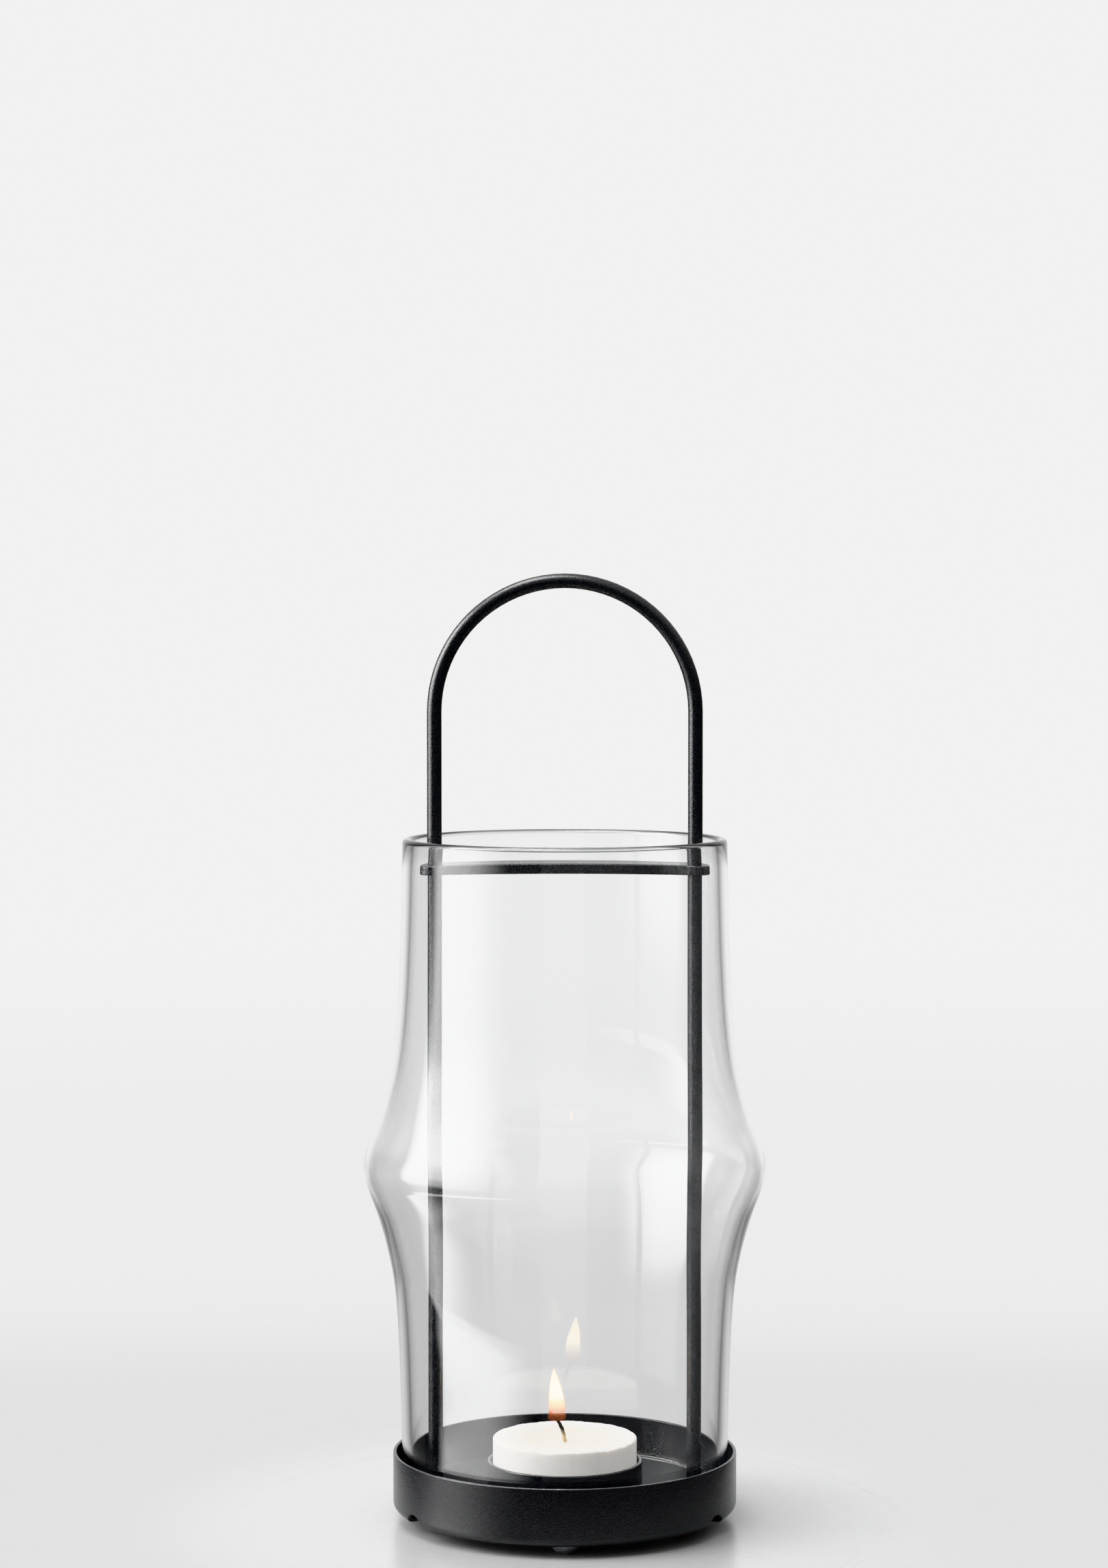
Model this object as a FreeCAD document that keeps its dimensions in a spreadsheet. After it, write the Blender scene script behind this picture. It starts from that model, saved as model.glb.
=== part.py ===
import FreeCAD, Part
import math
import os

import Sketcher
from FreeCAD import Vector

# Candle lantern: a powder-coated steel tray on three soft feet carries a raised floor, a ring for
# one tealight and a bent rod handle. A tie bar joins the two legs of the handle near the top, and a
# blown glass shade with a bulge slips down over the handle and stands on the raised floor.
#
# Frame: +Z up, the feet stand on z = 0, the lantern's axis is x = y = 0. The two legs of the handle
# stand at -X and +X, and the front foot points to -Y. All sizes are in millimetres.

SIZES = [
    ("tray_radius", 45.3, "outside radius of the tray"),
    ("tray_height", 15.0, "tray, underside to rim"),
    ("tray_wall", 0.9, "sheet thickness of the tray"),
    ("tray_corner", 2.0, "outside radius between wall and bottom of the tray"),
    ("sheet_edge_round", 0.3, "rounding of the rims of the tray and the candle ring"),
    ("drain_radius", 4.5, "radius of each drain arch"),
    ("drain_drop", 1.6, "centre of a drain arch below the tray's underside"),
    ("drain_reach", 4.0, "how far a drain runs inward from the tray's outside"),
    ("foot_height", 3.0, "how far the feet hold the tray up"),
    ("foot_base_radius", 4.0, "foot where it is stuck to the tray"),
    ("foot_flat_radius", 1.2, "flat on which a foot stands"),
    ("foot_inset", 7.3, "centre of a foot inward from the tray's outside"),
    ("spacer_height", 2.9, "bush between tray and raised floor"),
    ("spacer_radius", 3.5, "outside radius of that bush"),
    ("floor_thickness", 0.9, "sheet thickness of the raised floor"),
    ("floor_edge_gap", 0.5, "raised floor to tray wall"),
    ("floor_corner", 0.9, "outside radius of the raised floor's edge"),
    ("floor_lip_gap", 0.3, "under the raised floor's lip, above the tray's inner corner"),
    ("ring_height", 7.9, "candle ring above the raised floor"),
    ("ring_wall", 0.9, "thickness of the candle ring"),
    ("candle_radius", 19.0, "tealight"),
    ("candle_height", 13.9, "tealight"),
    ("candle_gap", 0.55, "tealight to candle ring, all round"),
    ("candle_edge_round", 0.5, "rounding of the tealight's upper edge"),
    ("dish_radius", 16.4, "hollow that has melted into the tealight's top"),
    ("dish_floor_radius", 8.0, "flat middle of that hollow"),
    ("dish_depth", 1.9, "depth of that hollow"),
    ("wick_radius", 0.55, "wick"),
    ("wick_gap", 0.05, "wick to what it passes through"),
    ("wick_bend_radius", 10.7, "curl of the burnt wick"),
    ("wick_bend_angle", 52.0, "how far the burnt wick has curled over, in degrees"),
    ("tab_radius", 6.0, "tin tab that holds the wick upright"),
    ("tab_thickness", 0.3, "sheet thickness of the tab"),
    ("tab_collar_radius", 1.15, "collar of the tab, outside"),
    ("tab_collar_height", 3.0, "collar of the tab"),
    ("shade_height", 172.1, "glass shade"),
    ("shade_side_gap", 1.5, "foot of the shade to the tray's wall"),
    ("shade_taper", 0.17, "how much narrower the shade is at its rim than at its foot"),
    ("shade_wall", 2.55, "glass thickness at both ends"),
    ("bulge_wall", 1.5, "glass thickness at the bulge"),
    ("shade_foot_round", 0.7, "rounding of the shade's ground foot"),
    ("bulge_height", 85.7, "crest of the bulge above the shade's foot"),
    ("crest_flare", 11.58, "control point at the crest, beyond the rim radius"),
    ("turn_above_flare", 7.69, "control point just above the crest"),
    ("turn_above_reach", 9.0, "its height from the crest"),
    ("shoulder_above_flare", 4.12, "control point on the upper slope"),
    ("shoulder_above_reach", 19.5, "its height from the crest"),
    ("sweep_above_flare", 0.6, "control point where the upper slope runs out"),
    ("sweep_above_reach", 38.1, "its height from the crest"),
    ("turn_below_flare", 7.06, "control point just below the crest"),
    ("turn_below_reach", 10.3, "its depth from the crest"),
    ("shoulder_below_flare", 3.26, "control point on the lower slope"),
    ("shoulder_below_reach", 23.1, "its depth from the crest"),
    ("sweep_below_flare", 0.6, "control point where the lower slope runs out"),
    ("sweep_below_reach", 39.2, "its depth from the crest"),
    ("rod_radius", 1.95, "handle rod"),
    ("handle_rise", 69.3, "top of the handle above the shade's rim"),
    ("stud_radius", 1.5, "threaded end of each leg"),
    ("stud_clearance", 0.1, "stud to the holes that it passes through"),
    ("stud_end", 0.3, "stud beyond its nut"),
    ("thread_gap", 0.05, "stud to nut"),
    ("washer_radius", 3.5, "washer under the tray"),
    ("washer_thickness", 0.5, "washer under the tray"),
    ("nut_flats", 5.5, "nut, across flats"),
    ("nut_height", 1.5, "nut"),
    ("bar_drop", 7.6, "top of the tie bar below the shade's rim"),
    ("bar_thickness", 2.0, "tie bar"),
    ("bar_width", 7.0, "tie bar between its eyes"),
    ("bar_eye_radius", 4.15, "round eye at each end of the tie bar"),
    ("bar_eye_gap", 0.03, "handle rod to the eye's hole"),
    ("bar_shade_gap", 1.8, "eye to the inside of the shade"),
    ("bar_edge_round", 0.35, "rounding of the tie bar's edges"),
]

FOOT_DIRECTIONS = {"front": -90, "right": 30, "left": 150}
SIDES = {"left": -1, "right": 1}
EXACT = 1e-3

doc = FreeCAD.newDocument("candle_lantern")
sheet = doc.addObject("Spreadsheet::Sheet", "Sizes")
for row, (alias, number, meaning) in enumerate(SIZES, 1):
    sheet.set(f"A{row}", alias)
    sheet.set(f"B{row}", str(number))
    sheet.set(f"C{row}", meaning)
    sheet.setAlias(f"B{row}", alias)
doc.recompute()


class Size:
    """A length that carries its value and the expression that ties it to the sheet."""

    def __init__(self, value, text):
        self.value = value
        self.text = text

    def __add__(self, other):
        other = plain(other)
        return Size(self.value + other.value, f"({self.text} + {other.text})")

    def __sub__(self, other):
        other = plain(other)
        return Size(self.value - other.value, f"({self.text} - {other.text})")

    def __mul__(self, factor):
        return Size(self.value * factor, f"({self.text} * {factor})")

    def __neg__(self):
        return Size(-self.value, f"(-{self.text})")


def plain(number):
    return number if isinstance(number, Size) else Size(float(number), f"{float(number)}")


def size(alias):
    return Size(float(sheet.get(alias)), f"Sizes.{alias}")


# Levels and radii that several pieces share.
tray_inside = size("tray_radius") - size("tray_wall")
underside = size("foot_height")
tray_floor = underside + size("tray_wall")
plate_underside = tray_floor + size("spacer_height")
floor_level = plate_underside + size("floor_thickness")
shade_foot_radius = tray_inside - size("shade_side_gap")
shade_rim_radius = shade_foot_radius - size("shade_taper")
shade_rim_level = floor_level + size("shade_height")
crest_level = floor_level + size("bulge_height")
eye_outer_reach = shade_rim_radius - size("shade_wall") - size("bar_shade_gap")
leg_offset = eye_outer_reach - size("bar_eye_radius")
bow_level = shade_rim_level + size("handle_rise") - size("rod_radius") - leg_offset
bar_top = shade_rim_level - size("bar_drop")
washer_underside = underside - size("washer_thickness")
nut_underside = washer_underside - size("nut_height")
stud_hole_radius = size("stud_radius") + size("stud_clearance")
candle_top = floor_level + size("candle_height")


# ---------------------------------------------------------------- sketching


def new_body(label):
    body = doc.addObject("PartDesign::Body", label)
    body.Label = label
    return body


def new_sketch(body, name, role, offset=None):
    """A sketch on one of the body's own origin planes, moved along its normal."""
    sketch = body.newObject("Sketcher::SketchObject", name)
    origin_plane = next(f for f in body.Origin.OriginFeatures if f.Role == role)
    sketch.AttachmentSupport = (origin_plane, [""])
    sketch.MapMode = "FlatFace"
    if offset is not None:
        sketch.setExpression("AttachmentOffset.Base.z", offset.text)
    return sketch


def at(x, y):
    return Vector(plain(x).value, plain(y).value, 0)


def bind(sketch, constraint, label, length):
    index = sketch.addConstraint(constraint)
    sketch.renameConstraint(index, label)
    sketch.setExpression(f"Constraints.{label}", length.text)


def pin(sketch, geometry, end, x, y):
    """Hold one point of the sketch at (x, y); a plain 0 puts it on the axis."""
    for axis, kind, place in ((-2, "DistanceX", x), (-1, "DistanceY", y)):
        if isinstance(place, Size):
            held = Sketcher.Constraint(kind, -1, 1, geometry, end, place.value)
            bind(sketch, held, f"{kind}_{geometry}_{end}", place)
        else:
            sketch.addConstraint(Sketcher.Constraint("PointOnObject", geometry, end, axis))


def polygon(sketch, corners):
    """A closed outline with every corner pinned."""
    first = sketch.GeometryCount
    count = len(corners)
    for i in range(count):
        line = Part.LineSegment(at(*corners[i]), at(*corners[(i + 1) % count]))
        sketch.addGeometry(line, False)
    for i in range(count):
        following = first + (i + 1) % count
        sketch.addConstraint(Sketcher.Constraint("Coincident", first + i, 2, following, 1))
    for i in range(count):
        pin(sketch, first + i, 1, *corners[i])


def circle(sketch, x, y, radius):
    ring = Part.Circle(at(x, y), Vector(0, 0, 1), radius.value)
    index = sketch.addGeometry(ring, False)
    pin(sketch, index, 3, x, y)
    bind(sketch, Sketcher.Constraint("Radius", index, radius.value), f"Radius_{index}", radius)


def arc(sketch, centre, radius, sweep):
    """An arc that starts to the right of its centre and runs anticlockwise."""
    ring = Part.Circle(centre, Vector(0, 0, 1), radius.value)
    sketch.addGeometry(Part.ArcOfCircle(ring, 0, sweep), False)


def spline(sketch, poles):
    """A cubic curve whose control points are pinned; it starts and ends on the outer two."""
    handles = []
    for x, y in poles:
        handle = Part.Circle(at(x, y), Vector(0, 0, 1), 1)
        handles.append(sketch.addGeometry(handle, True))
    sketch.addConstraint(Sketcher.Constraint("Weight", handles[0], 1.0))
    for handle in handles[1:]:
        sketch.addConstraint(Sketcher.Constraint("Equal", handles[0], handle))
    curve = Part.BSplineCurve([at(*pole) for pole in poles], None, None, False, 3, None, False)
    index = sketch.addGeometry(curve, False)
    role = "InternalAlignment:Sketcher::BSplineControlPoint"
    for place, handle in enumerate(handles):
        sketch.addConstraint(Sketcher.Constraint(role, handle, 3, index, place))
    for handle, (x, y) in zip(handles, poles):
        pin(sketch, handle, 3, x, y)
    return index


# ---------------------------------------------------------------- features


def revolve(body, sketch):
    turn = body.newObject("PartDesign::Revolution", f"{body.Name}_turn")
    turn.Profile = sketch
    turn.ReferenceAxis = (sketch, ["V_Axis"])
    turn.Angle = 360


def turned(label, corners):
    """A body turned about the Z axis from corners given as radius and level."""
    body = new_body(label)
    sketch = new_sketch(body, f"{label}_profile", "XZ_Plane")
    polygon(sketch, corners)
    revolve(body, sketch)
    return body


def pad(body, sketch, length):
    block = body.newObject("PartDesign::Pad", f"{sketch.Name}_pad")
    block.Profile = sketch
    block.setExpression("Length", length.text)


def bore_through(body, sketch):
    """Cuts the sketch through the whole body, and makes sure that it did."""
    doc.recompute()
    before = body.Shape.Volume
    hole = body.newObject("PartDesign::Pocket", f"{sketch.Name}_hole")
    hole.Profile = sketch
    hole.Type = "ThroughAll"
    hole.Midplane = True
    doc.recompute()
    if body.Shape.Volume > before - EXACT:
        raise RuntimeError(f"{hole.Name} cuts nothing")


def stud_holes(body):
    """The two holes through which the threaded ends of the handle pass."""
    sketch = new_sketch(body, f"{body.Name}_stud_holes", "XY_Plane")
    for sign in SIDES.values():
        circle(sketch, leg_offset * sign, 0, stud_hole_radius)
    bore_through(body, sketch)


def edge_ring(radius, level):
    """Picks the circular edge about the Z axis at this radius and level."""

    def wanted(edge):
        if not isinstance(edge.Curve, Part.Circle):
            return False
        centre = edge.Curve.Center
        on_axis = abs(centre.x) < EXACT and abs(centre.y) < EXACT
        right_size = abs(edge.Curve.Radius - radius.value) < EXACT
        return on_axis and right_size and abs(centre.z - level.value) < EXACT

    return wanted


def round_edges(body, name, radius, *wanted):
    doc.recompute()
    base = body.Tip
    picked = []
    for number, edge in enumerate(base.Shape.Edges, 1):
        if any(pick(edge) for pick in wanted):
            picked.append(f"Edge{number}")
    fillet = body.newObject("PartDesign::Fillet", f"{body.Name}_{name}")
    fillet.Base = (base, picked)
    fillet.setExpression("Radius", radius.text)


def pipe(body, spine, profile):
    sweep = body.newObject("PartDesign::AdditivePipe", f"{body.Name}_sweep")
    sweep.Profile = profile
    sweep.Spine = (spine, [f"Edge{i + 1}" for i in range(spine.GeometryCount)])


# ---------------------------------------------------------------- tray and floor


def make_base_tray():
    outside = size("tray_radius")
    rim = underside + size("tray_height")
    corners = [
        (0, underside),
        (outside, underside),
        (outside, rim),
        (tray_inside, rim),
        (tray_inside, tray_floor),
        (0, tray_floor),
    ]
    body = turned("base_tray", corners)
    round_edges(body, "outer_corner", size("tray_corner"), edge_ring(outside, underside))
    inner_corner = size("tray_corner") - size("tray_wall")
    round_edges(body, "inner_corner", inner_corner, edge_ring(tray_inside, tray_floor))
    rims = (edge_ring(outside, rim), edge_ring(tray_inside, rim))
    round_edges(body, "rim", size("sheet_edge_round"), *rims)
    stud_holes(body)
    cut_drains(body)
    return body


def cut_drains(body):
    """Three arches through the tray's bottom corner, midway between the feet."""
    start = size("drain_reach") - size("tray_radius")
    sketch = new_sketch(body, "drain_arch", "XZ_Plane", start)
    circle(sketch, 0, underside - size("drain_drop"), size("drain_radius"))
    before = body.Shape.Volume
    drain = body.newObject("PartDesign::Pocket", "drain")
    drain.Profile = sketch
    drain.Type = "Length"
    drain.setExpression("Length", (size("drain_reach") * 2).text)
    doc.recompute()
    if body.Shape.Volume > before - EXACT:
        raise RuntimeError("the drain cuts nothing")
    ring = body.newObject("PartDesign::PolarPattern", "drain_ring")
    ring.Originals = [drain]
    z_axis = next(f for f in body.Origin.OriginFeatures if f.Role == "Z_Axis")
    ring.Axis = (z_axis, [""])
    ring.Angle = 360
    ring.Occurrences = len(FOOT_DIRECTIONS)
    body.Tip = ring


def make_floor_plate():
    outside = tray_inside - size("floor_edge_gap")
    inside = outside - size("floor_thickness")
    lip = underside + size("tray_corner") + size("floor_lip_gap")
    corners = [
        (0, plate_underside),
        (inside, plate_underside),
        (inside, lip),
        (outside, lip),
        (outside, floor_level),
        (0, floor_level),
    ]
    body = turned("floor_plate", corners)
    round_edges(body, "edge", size("floor_corner"), edge_ring(outside, floor_level))
    stud_holes(body)
    return body


def make_candle_ring():
    inside = size("candle_radius") + size("candle_gap")
    outside = inside + size("ring_wall")
    rim = floor_level + size("ring_height")
    corners = [(inside, floor_level), (outside, floor_level), (outside, rim), (inside, rim)]
    body = turned("candle_ring", corners)
    rims = (edge_ring(inside, rim), edge_ring(outside, rim))
    round_edges(body, "rim", size("sheet_edge_round"), *rims)
    return body


def make_foot(side, direction):
    """A soft dome, stuck under the tray, with a small flat to stand on."""
    body = new_body(f"foot_{side}")
    sketch = new_sketch(body, f"foot_{side}_profile", "XZ_Plane")
    flat, base, top = size("foot_flat_radius"), size("foot_base_radius"), size("foot_height")
    sketch.addGeometry(Part.LineSegment(at(0, 0), at(flat, 0)), False)
    centre_level = (base.value**2 - flat.value**2 + top.value**2) / (2 * top.value)
    bend = (flat.value**2 + centre_level**2) ** 0.5
    turns = (math.atan2(-centre_level, flat.value), math.atan2(top.value - centre_level, base.value))
    half_way = sum(turns) / 2
    middle = Vector(bend * math.cos(half_way), centre_level + bend * math.sin(half_way), 0)
    sketch.addGeometry(Part.Arc(at(flat, 0), middle, at(base, top)), False)
    sketch.addGeometry(Part.LineSegment(at(base, top), at(0, top)), False)
    sketch.addGeometry(Part.LineSegment(at(0, top), at(0, 0)), False)
    for line, end, after, start in ((0, 2, 1, 1), (1, 2, 2, 1), (2, 2, 3, 1), (3, 2, 0, 1)):
        sketch.addConstraint(Sketcher.Constraint("Coincident", line, end, after, start))
    sketch.addConstraint(Sketcher.Constraint("PointOnObject", 1, 3, -2))
    for line, end, x, y in ((0, 1, 0, 0), (0, 2, flat, 0), (2, 1, base, top), (3, 1, 0, top)):
        pin(sketch, line, end, x, y)
    revolve(body, sketch)
    out = size("tray_radius") - size("foot_inset")
    body.setExpression("Placement.Base.x", f"{out.text} * cos({direction})")
    body.setExpression("Placement.Base.y", f"{out.text} * sin({direction})")
    return body


# ---------------------------------------------------------------- handle


def make_handle_bow():
    """One bent rod with a threaded stud turned on each end."""
    body = new_body("handle_bow")
    left, right = -leg_offset, leg_offset
    spine = new_sketch(body, "bow_path", "XZ_Plane")
    spine.addGeometry(Part.LineSegment(at(left, floor_level), at(left, bow_level)), False)
    arc(spine, at(0, bow_level), leg_offset, math.pi)
    spine.addGeometry(Part.LineSegment(at(right, bow_level), at(right, floor_level)), False)
    pin(spine, 0, 1, left, floor_level)
    pin(spine, 0, 2, left, bow_level)
    pin(spine, 2, 1, right, bow_level)
    pin(spine, 2, 2, right, floor_level)
    spine.addConstraint(Sketcher.Constraint("Coincident", 1, 1, 2, 1))
    spine.addConstraint(Sketcher.Constraint("Tangent", 0, 2, 1, 2))
    profile = new_sketch(body, "rod_section", "XY_Plane", floor_level)
    circle(profile, left, 0, size("rod_radius"))
    pipe(body, spine, profile)
    stud_tip = nut_underside - size("stud_end")
    studs = new_sketch(body, "studs", "XY_Plane", stud_tip)
    for sign in SIDES.values():
        circle(studs, leg_offset * sign, 0, size("stud_radius"))
    pad(body, studs, floor_level - stud_tip)
    return body


def make_crossbar():
    """A flat strip with a round eye at each end, pushed on and welded to the legs."""
    body = new_body("crossbar")
    bottom = bar_top - size("bar_thickness")
    half = size("bar_width") * 0.5
    strip = new_sketch(body, "strip", "XY_Plane", bottom)
    left, right = -leg_offset, leg_offset
    polygon(strip, [(left, -half), (right, -half), (right, half), (left, half)])
    pad(body, strip, size("bar_thickness"))
    eyes = new_sketch(body, "eyes", "XY_Plane", bottom)
    for sign in SIDES.values():
        circle(eyes, leg_offset * sign, 0, size("bar_eye_radius"))
    pad(body, eyes, size("bar_thickness"))

    def outline(edge):
        box = edge.BoundBox
        return box.ZMin > bar_top.value - EXACT or box.ZMax < bottom.value + EXACT

    round_edges(body, "edges", size("bar_edge_round"), outline)
    holes = new_sketch(body, "rod_holes", "XY_Plane")
    for sign in SIDES.values():
        circle(holes, leg_offset * sign, 0, size("rod_radius") + size("bar_eye_gap"))
    bore_through(body, holes)
    return body


def make_spacer(side, sign):
    corners = [
        (stud_hole_radius, tray_floor),
        (size("spacer_radius"), tray_floor),
        (size("spacer_radius"), plate_underside),
        (stud_hole_radius, plate_underside),
    ]
    body = turned(f"spacer_{side}", corners)
    body.setExpression("Placement.Base.x", (leg_offset * sign).text)
    return body


def make_washer(side, sign):
    corners = [
        (stud_hole_radius, washer_underside),
        (size("washer_radius"), washer_underside),
        (size("washer_radius"), underside),
        (stud_hole_radius, underside),
    ]
    body = turned(f"washer_{side}", corners)
    body.setExpression("Placement.Base.x", (leg_offset * sign).text)
    return body


def make_nut(side, sign):
    block = doc.addObject("Part::Prism", f"nut_{side}_block")
    block.Polygon = 6
    block.setExpression("Circumradius", f"{size('nut_flats').text} / (2 * cos(30))")
    block.setExpression("Height", size("nut_height").text)
    bore = doc.addObject("Part::Cylinder", f"nut_{side}_bore")
    bore.setExpression("Radius", (size("stud_radius") + size("thread_gap")).text)
    bore.setExpression("Height", size("nut_height").text)
    nut = doc.addObject("Part::Cut", f"nut_{side}")
    nut.Base = block
    nut.Tool = bore
    nut.setExpression("Placement.Base.x", (leg_offset * sign).text)
    nut.setExpression("Placement.Base.z", nut_underside.text)
    return nut


# ---------------------------------------------------------------- shade


def make_glass_shade():
    """A blown tube with a rounded rim, a ground foot and a bulge at mid height."""
    body = new_body("glass_shade")
    sketch = new_sketch(body, "shade_profile", "XZ_Plane")
    wall, thin = size("shade_wall"), size("bulge_wall")
    thinning = wall - thin
    rim_centre = shade_rim_level - wall * 0.5

    def pole(name, side):
        reach = size(f"{name}_reach") * side
        return (shade_rim_radius + size(f"{name}_flare"), crest_level + reach)

    crest = (shade_rim_radius + size("crest_flare"), crest_level)
    outer = [
        (shade_rim_radius, rim_centre),
        pole("sweep_above", 1),
        pole("shoulder_above", 1),
        pole("turn_above", 1),
        crest,
        pole("turn_below", -1),
        pole("shoulder_below", -1),
        pole("sweep_below", -1),
        (shade_foot_radius, floor_level),
    ]
    thinned = [0, 0, 0.35, 0.75, 1, 0.75, 0.35, 0, 0]
    inner = []
    for (radius, level), share in zip(outer, thinned):
        inner.append((radius - wall + thinning * share, level))
    outside = spline(sketch, outer)
    inside = spline(sketch, inner)
    crown = at(shade_rim_radius - wall * 0.5, shade_rim_level)
    rim = sketch.addGeometry(Part.Arc(at(*outer[0]), crown, at(*inner[0])), False)
    foot = sketch.addGeometry(Part.LineSegment(at(*outer[-1]), at(*inner[-1])), False)
    level = Sketcher.Constraint("DistanceY", -1, 1, rim, 3, rim_centre.value)
    bind(sketch, level, "rim_centre", rim_centre)
    sketch.addConstraint(Sketcher.Constraint("Coincident", outside, 1, rim, 1))
    sketch.addConstraint(Sketcher.Constraint("Coincident", inside, 1, rim, 2))
    sketch.addConstraint(Sketcher.Constraint("Coincident", outside, 2, foot, 1))
    sketch.addConstraint(Sketcher.Constraint("Coincident", inside, 2, foot, 2))
    revolve(body, sketch)
    foot_edges = (
        edge_ring(shade_foot_radius, floor_level),
        edge_ring(shade_foot_radius - wall, floor_level),
    )
    round_edges(body, "ground_foot", size("shade_foot_round"), *foot_edges)
    return body


# ---------------------------------------------------------------- tealight


def make_tealight_wax():
    """The wax, hollowed by the melt, with room for the wick and its tab."""
    wick_bore = size("wick_radius") + size("wick_gap")
    tab_room = size("tab_radius") + size("wick_gap")
    collar_room = size("tab_collar_radius") + size("wick_gap")
    tab_top = floor_level + size("tab_thickness") + size("wick_gap")
    collar_top = floor_level + size("tab_collar_height") + size("wick_gap")
    dish_floor = candle_top - size("dish_depth")
    corners = [
        (tab_room, floor_level),
        (size("candle_radius"), floor_level),
        (size("candle_radius"), candle_top),
        (size("dish_radius"), candle_top),
        (size("dish_floor_radius"), dish_floor),
        (wick_bore, dish_floor),
        (wick_bore, collar_top),
        (collar_room, collar_top),
        (collar_room, tab_top),
        (tab_room, tab_top),
    ]
    body = turned("tealight_wax", corners)
    top_edge = edge_ring(size("candle_radius"), candle_top)
    round_edges(body, "top_edge", size("candle_edge_round"), top_edge)
    return body


def make_wick():
    """A straight cord up through the wax, curled over to -X where it has burnt."""
    body = new_body("wick")
    foot = floor_level + size("tab_thickness")
    bend_start = candle_top - size("dish_depth")
    bend_radius = size("wick_bend_radius")
    spine = new_sketch(body, "wick_path", "XZ_Plane")
    spine.addGeometry(Part.LineSegment(at(0, foot), at(0, bend_start)), False)
    curl = math.radians(size("wick_bend_angle").value)
    arc(spine, at(-bend_radius, bend_start), bend_radius, curl)
    pin(spine, 0, 1, 0, foot)
    pin(spine, 0, 2, 0, bend_start)
    spine.addConstraint(Sketcher.Constraint("Coincident", 0, 2, 1, 1))
    pin(spine, 1, 3, -bend_radius, bend_start)
    turn = Sketcher.Constraint("Angle", 1, curl)
    bind(spine, turn, "curl", size("wick_bend_angle"))
    profile = new_sketch(body, "wick_section", "XY_Plane", foot)
    circle(profile, 0, 0, size("wick_radius"))
    pipe(body, spine, profile)
    return body


def make_wick_tab():
    bore = size("wick_radius") + size("wick_gap")
    plate_top = floor_level + size("tab_thickness")
    collar_top = floor_level + size("tab_collar_height")
    corners = [
        (0, floor_level),
        (size("tab_radius"), floor_level),
        (size("tab_radius"), plate_top),
        (size("tab_collar_radius"), plate_top),
        (size("tab_collar_radius"), collar_top),
        (bore, collar_top),
        (bore, plate_top),
        (0, plate_top),
    ]
    return turned("wick_tab", corners)


# ---------------------------------------------------------------- assembly

pieces = [
    make_base_tray(),
    make_floor_plate(),
    make_candle_ring(),
    make_handle_bow(),
    make_crossbar(),
    make_glass_shade(),
    make_tealight_wax(),
    make_wick(),
    make_wick_tab(),
]
for side, direction in FOOT_DIRECTIONS.items():
    pieces.append(make_foot(side, direction))
for side, sign in SIDES.items():
    pieces.append(make_spacer(side, sign))
    pieces.append(make_washer(side, sign))
    pieces.append(make_nut(side, sign))

doc.recompute()
for item in doc.Objects:
    if "Invalid" in item.State or "Error" in item.State:
        raise RuntimeError(f"{item.Name} failed: {item.State}")
for piece in pieces:
    if piece.Shape.isNull() or not piece.Shape.isValid():
        raise RuntimeError(f"{piece.Label} has no valid shape")

os.makedirs("parts", exist_ok=True)
for piece in pieces:
    piece.Shape.exportStep(f"parts/{piece.Label}.step")
    print(f"{piece.Label}: {len(piece.Shape.Solids)} solid, {piece.Shape.Volume:.1f} mm3")
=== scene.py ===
import math

import bmesh
import bpy
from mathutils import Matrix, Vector, noise


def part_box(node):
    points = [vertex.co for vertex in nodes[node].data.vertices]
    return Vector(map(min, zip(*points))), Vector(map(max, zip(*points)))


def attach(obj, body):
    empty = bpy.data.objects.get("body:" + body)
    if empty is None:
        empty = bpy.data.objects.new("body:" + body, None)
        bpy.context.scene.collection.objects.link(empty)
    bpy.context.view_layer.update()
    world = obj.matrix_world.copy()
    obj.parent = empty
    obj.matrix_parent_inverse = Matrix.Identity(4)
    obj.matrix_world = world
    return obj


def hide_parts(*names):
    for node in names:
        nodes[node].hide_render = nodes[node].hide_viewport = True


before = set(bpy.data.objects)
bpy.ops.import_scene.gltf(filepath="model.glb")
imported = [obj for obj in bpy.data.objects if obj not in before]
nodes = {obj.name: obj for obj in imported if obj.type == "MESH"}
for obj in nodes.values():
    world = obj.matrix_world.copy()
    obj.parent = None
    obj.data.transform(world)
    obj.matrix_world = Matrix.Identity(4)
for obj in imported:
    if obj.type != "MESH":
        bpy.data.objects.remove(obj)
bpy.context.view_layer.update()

MM = 0.001
scene = bpy.context.scene

# ---------------------------------------------------------------- sizes read from the frame

tray_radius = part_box("base_tray")[1].x
shade_low, shade_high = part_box("glass_shade")
wax_low, wax_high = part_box("tealight_wax")
wick_low, wick_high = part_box("wick")
candle_radius = wax_high.x

# Levels of the flame's foot and tip over the ground, and how far the wax has melted down.
FLAME_BASE = 25.6 * MM
FLAME_TIP = 40.0 * MM
MELT_DEPTH = 1.9 * MM

# ---------------------------------------------------------------- shader trees


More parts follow.
